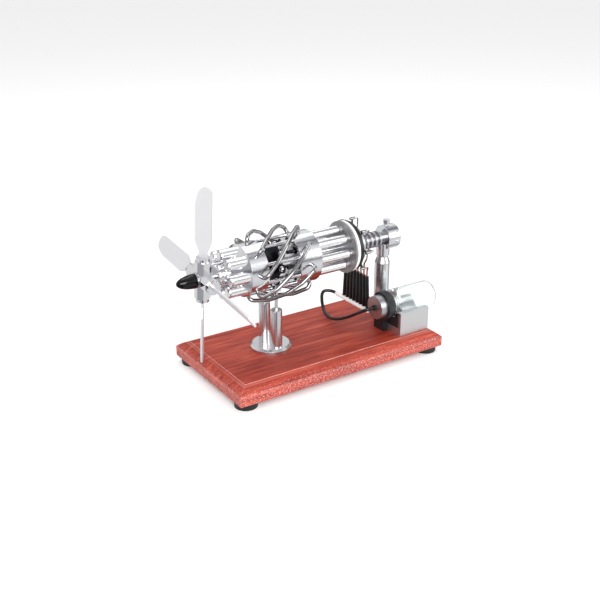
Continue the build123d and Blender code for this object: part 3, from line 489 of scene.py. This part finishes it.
bottle = {
    "wall": 1.5 * mm, "neck": 13.4 * mm, "bead": 15.8 * mm,  # the wall, and the radii between and on the threads
    "threads": 3, "threadLength": 7.5 * mm, "shoulder": 3.0 * mm, "dome": 6.5 * mm, "spin": 96,
    "humpRoundness": 0.7, "domeRoundness": 0.6,  # powers of the sine and cosine: less is fuller
}


def makeBottle():
    # outside: neck, thread ridges as a row of rounded humps, shoulder, body and domed end; inside a wall thinner
    start, end = bottleLow[0], bottleHigh[0]
    radius = (bottleHigh[1] - bottleLow[1]) / 2
    wall, neck, bead = bottle["wall"], bottle["neck"], bottle["bead"]
    threadStart = nutHigh[0]
    threadEnd = threadStart + bottle["threadLength"]
    shoulderEnd = threadEnd + bottle["shoulder"]
    bodyEnd = end - bottle["dome"]
    t = np.linspace(0, 1, 40)
    humps = np.abs(np.sin(pi * bottle["threads"] * t)) ** bottle["humpRoundness"]
    threads = np.stack([threadStart + bottle["threadLength"] * t, neck + (bead - neck) * humps], -1)
    few = t[::4]
    shoulder = np.stack([threadEnd + bottle["shoulder"] * few, neck + (radius - neck) * np.sin(pi / 2 * few)], -1)
    turn = np.linspace(0, pi / 2, 16)
    out, down = np.sin(turn), np.cos(turn) ** bottle["domeRoundness"]
    dome = np.stack([bodyEnd + bottle["dome"] * out, radius * down], -1)
    innerDome = np.stack([bodyEnd + (bottle["dome"] - wall) * out, (radius - wall) * down], -1)[::-1]
    innerNeck = [[shoulderEnd, radius - wall], [threadEnd, neck - wall], [start, neck - wall], [start, neck]]
    outline = np.concatenate([[[start, neck]], threads, shoulder, dome, innerDome, innerNeck])
    return turnedSurface("glassBottle", outline, bottle["spin"])


finishPiece(makeBottle(), "frame", ["fuel_bottle"], materials["blownGlass"])
print("bottle made")

hose = {
    "diameter": 4 * mm,
    "length": 0.1405,
    "pointRadius": 1 * mm,
    "route": [
        (73.5, -40.4, 62.0), (67.5, -40.4, 62.0), (62.9, -36.6, 60.0), (59.1, -27.0, 53.4),
        (55.7, -12.0, 43.6), (54.0, 4.0, 35.6), (54.3, 20.0, 30.6), (56.5, 35.5, 31.4),
        (60.1, 46.4, 39.6), (64.1, 53.4, 48.4), (68.1, 54.4, 52.4), (73.1, 50.8, 52.8),
        (77.5, 46.8, 52.0), (77.5, 41.0, 52.0),
    ],
}


def makeHose():
    # a tube along the route, from the bottle's plug to the manifold
    curve = bpy.data.curves.new("fuelHose", "CURVE")
    curve.dimensions = "3D"
    curve.bevel_depth = hose["diameter"] / 2 / hose["pointRadius"]
    curve.bevel_resolution = 6
    curve.resolution_u = 16
    curve.use_fill_caps = True
    spline = curve.splines.new("NURBS")
    spline.points.add(len(hose["route"]) - 1)
    for point, place in zip(spline.points, hose["route"]):
        point.co = (*(v * mm for v in place), 1.0)
        point.radius = hose["pointRadius"]
    spline.order_u = 3
    spline.use_endpoint_u = True
    obj = bpy.data.objects.new("fuelHose", curve)
    bpy.context.scene.collection.objects.link(obj)
    return obj


hosePiece = makeHose()
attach(hosePiece, "frame")
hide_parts("fuel_hose")
dress(hosePiece, materials["siliconeHose"])
print("hose laid")

stage = {"floor": "#fbfbfb", "size": 12.0, "world": 0.90}
# the room as bright metal sees it, by the height of a direction, from straight down to straight up
roomBands = [(0.0, "#d8d8da"), (0.30, "#ffffff"), (0.44, "#e8e8ea"), (0.49, "#55555c"), (0.52, "#303036"),
             (0.56, "#c8c8cc"), (0.62, "#ffffff"), (0.84, "#ffffff"), (0.90, "#8e8e96"), (0.95, "#ffffff")]
# and by its bearing, once round from the propeller's end by way of the front: the darkest part is the unlit
# corner in front of the propeller
roomRound = [(0.0, "#f4f4f6"), (0.06, "#9a9aa2"), (0.10, "#ffffff"), (0.135, "#65656d"), (0.175, "#484850"),
             (0.205, "#e8e8ea"), (0.30, "#ffffff"), (0.44, "#ffffff"), (0.47, "#5a5a62"), (0.51, "#ffffff"),
             (0.66, "#ffffff"), (0.70, "#77777f"), (0.75, "#ffffff"), (1.0, "#f4f4f6")]


def makeFloor():
    half = stage["size"] / 2
    spots = np.linspace(-half, half, 2)
    xs, ys = np.meshgrid(spots, spots, indexing="ij")
    floor = gridMesh("floor", np.stack([xs, ys, np.zeros_like(xs)], -1), smooth=False)
    paper, _, _ = newMaterial("palePaper", {"Base Color": linear(stage["floor"]), "Roughness": 0.95,
                                            "Specular IOR Level": 0.1})  # matt backing paper
    dress(floor, paper)
    floor.visible_glossy = False  # bright metal sees the soft room instead


def makeRoom():
    # plain white to the eye and to matt surfaces, striped only where metal mirrors it or glass bends it
    world = bpy.data.worlds.new("softRoom")
    world.use_nodes = True
    tree = world.node_tree
    background = tree.nodes["Background"]
    coords = addNode(tree, "ShaderNodeTexCoord")
    split = addNode(tree, "ShaderNodeSeparateXYZ", links={"Vector": (coords, "Generated")})
    height = addNode(tree, "ShaderNodeMapRange", inputs={"From Min": -1.0}, links={"Value": (split, "Z")})
    bands = addNode(tree, "ShaderNodeValToRGB", links={"Fac": (height, "Result")}, stops=roomBands)
    angle = addNode(tree, "ShaderNodeMath", {"operation": "ARCTAN2"}, links={0: (split, "Y"), 1: (split, "X")})
    around = addNode(tree, "ShaderNodeMapRange", inputs={"From Min": -pi, "From Max": pi},
                     links={"Value": (angle, "Value")})
    sides = addNode(tree, "ShaderNodeValToRGB", links={"Fac": (around, "Result")}, stops=roomRound)
    shaded = addNode(tree, "ShaderNodeMix", {"data_type": "RGBA", "blend_type": "MULTIPLY"}, {"Factor": 1.0},
                     {"A": (bands, "Color"), "B": (sides, "Color")})
    rays = addNode(tree, "ShaderNodeLightPath")
    mirrored = addNode(tree, "ShaderNodeMath", {"operation": "ADD", "use_clamp": True},
                       links={0: (rays, "Is Glossy Ray"), 1: (rays, "Is Transmission Ray")})
    room = addNode(tree, "ShaderNodeMix", {"data_type": "RGBA"}, {"A": linear("#ffffff")},
                   {"Factor": (mirrored, "Value"), "B": (shaded, "Result")})
    tree.links.new(room.outputs["Result"], background.inputs["Color"])
    background.inputs["Strength"].default_value = stage["world"]
    bpy.context.scene.world = world
    bpy.context.scene.view_settings.view_transform = "Standard"


lights = {
    "key": {"at": (-0.8, -1.3, 0.75), "size": 1.0, "power": 22},
    "fill": {"at": (1.3, -1.1, 0.6), "size": 1.0, "power": 9},
    "top": {"at": (0.2, 0.5, 1.5), "size": 1.2, "power": 7},
}


def makeLights():
    for name, setting in lights.items():
        data = bpy.data.lights.new(name, "AREA")
        data.size = setting["size"]
        data.energy = setting["power"]
        lookAt(bpy.data.objects.new(name, data), setting["at"], (0, 0, axisHeight))


makeFloor()
makeRoom()
makeLights()
print("stage lit")

bpy.context.view_layer.update()
